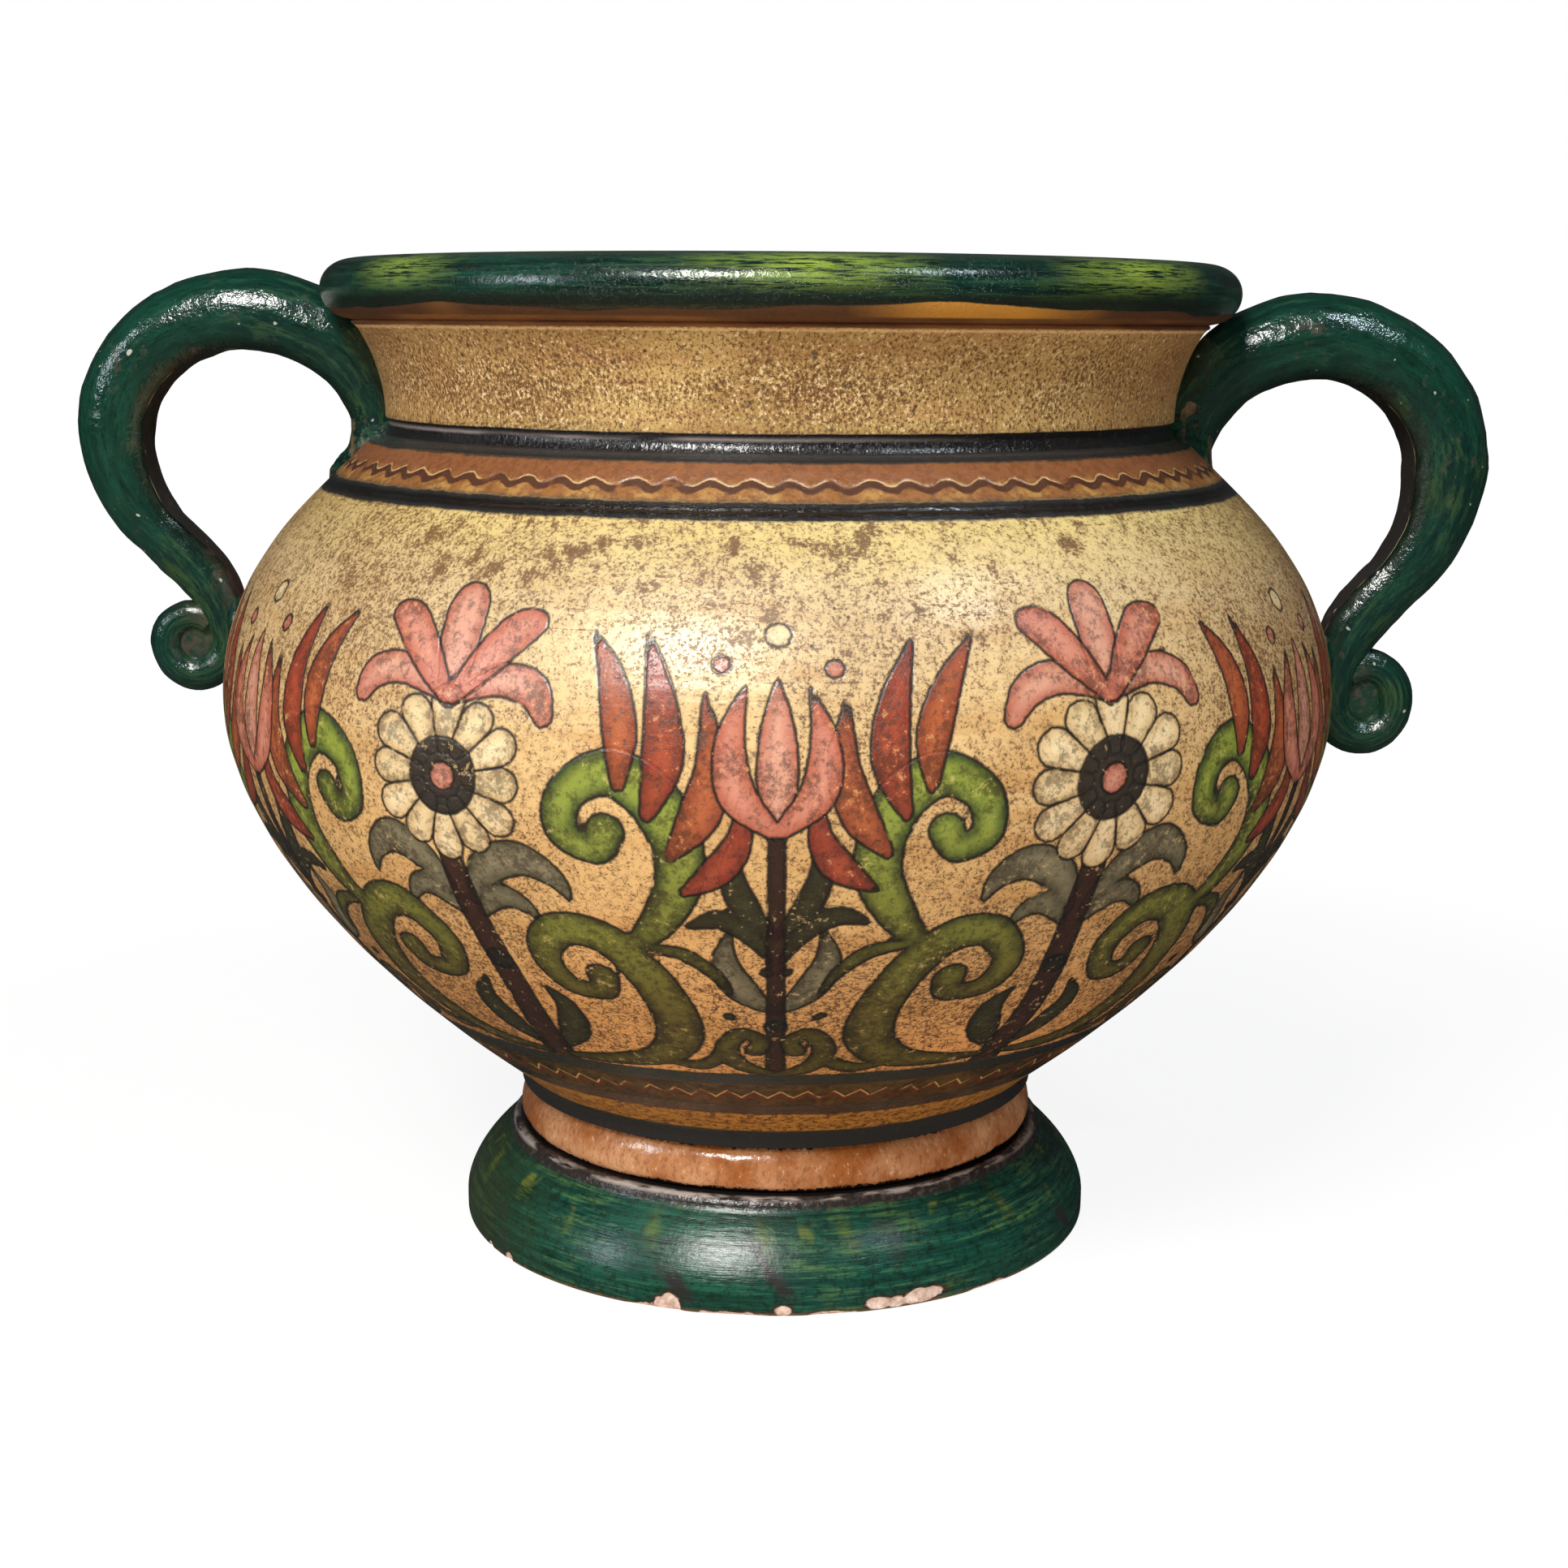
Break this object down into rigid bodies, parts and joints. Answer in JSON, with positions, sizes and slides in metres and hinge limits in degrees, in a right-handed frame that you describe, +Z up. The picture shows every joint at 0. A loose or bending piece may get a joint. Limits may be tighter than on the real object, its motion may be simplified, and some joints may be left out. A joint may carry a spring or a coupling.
{
  "type": "terracotta vase",
  "caption": "Wide-bellied terracotta vase on a flared foot, with a flaring collar, a rolled rim and coiled handles that end in scrolls.",
  "frame": {"origin": "on the vase's axis at the plane it stands on", "axes": "+Z up along the vase's axis, X through the two handles with the larger handle at +X, -Y towards the viewer"},
  "size_m": [0.4094, 0.32, 0.2806],
  "materials": {
    "green_varnish": "emerald green brushed paint under glossy, slightly lumpy varnish",
    "orange_varnish": "orange-brown paint under glossy varnish",
    "painted_ground": "ochre ground stippled brown, painted bands and frieze, satin varnish",
    "collar_paint": "speckled ochre neck with an emerald green rim, satin to glossy varnish",
    "luting_clay": "smeared clay under dark green paint"
  },
  "bodies": {
    "root": {"foot": "green_varnish", "waist_ring": "orange_varnish", "bowl": "painted_ground", "collar": "collar_paint", "handle_left": "green_varnish", "handle_right": "green_varnish", "lute_left_upper": "luting_clay", "lute_left_lower": "luting_clay", "lute_right_upper": "luting_clay", "lute_right_lower": "luting_clay"}
  },
  "joints": []
}
